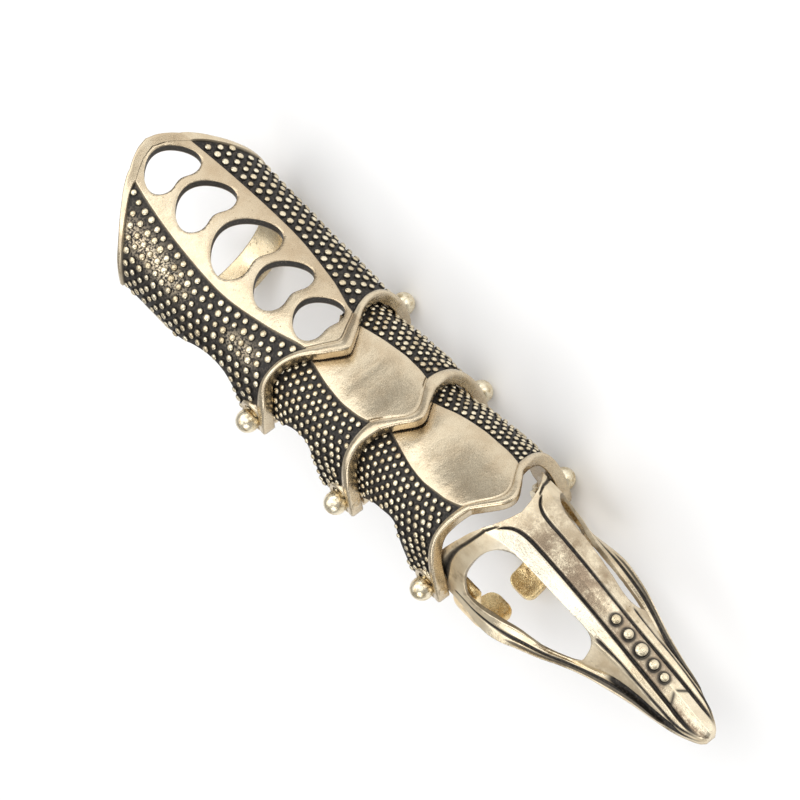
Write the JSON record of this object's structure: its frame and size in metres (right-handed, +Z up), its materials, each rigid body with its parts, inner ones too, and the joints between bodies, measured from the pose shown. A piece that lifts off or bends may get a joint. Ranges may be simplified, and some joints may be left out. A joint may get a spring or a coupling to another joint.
{
  "type": "knuckle armor ring",
  "caption": "Full-finger armour ring: arched hinged plates with heart piercings and beaded rims, a closed knuckle band and an openwork claw tip on an open band.",
  "frame": {"origin": "centre of the bounding box's base, on the surface that the ring lies on", "axes": "+X along the finger from the knuckle to the fingertip, +Z up from the surface, +Y level. The ring lies on its right side, so the plates' tops face between +Y and +Z."},
  "size_m": [0.0944, 0.0226, 0.0218],
  "materials": {
    "antique_gold": "polished pale antique gold plating, dark in the recesses",
    "old_gold_claw": "polished antique gold plating with brown patina in the grooves",
    "rivet_gold": "polished pale gold"
  },
  "bodies": {
    "knuckle": {"knuckle_plate": "antique_gold", "rivet_knuckle_left": "rivet_gold", "rivet_knuckle_right": "rivet_gold"},
    "middle_rear": {"middle_plate_rear": "antique_gold", "rivet_middle_left": "rivet_gold", "rivet_middle_right": "rivet_gold"},
    "middle_front": {"middle_plate_front": "antique_gold", "rivet_tip_left": "rivet_gold", "rivet_tip_right": "rivet_gold"},
    "claw": {"fingertip_claw": "old_gold_claw"}
  },
  "joints": [
    {"name": "knuckle_hinge", "type": "hinge", "parent": "knuckle", "child": "middle_rear", "pos_m": [-0.01617, -0.00036, 0.01052], "axis": [-0.0244, 0.5858, -0.8101], "range_deg": [0, 40]},
    {"name": "middle_hinge", "type": "hinge", "parent": "middle_rear", "child": "middle_front", "pos_m": [-0.00208, -0.00036, 0.01009], "axis": [-0.0244, 0.5858, -0.8101], "range_deg": [0, 40]},
    {"name": "tip_hinge", "type": "hinge", "parent": "middle_front", "child": "claw", "pos_m": [0.01201, -0.00036, 0.00967], "axis": [-0.0244, 0.5858, -0.8101], "range_deg": [0, 40]}
  ]
}
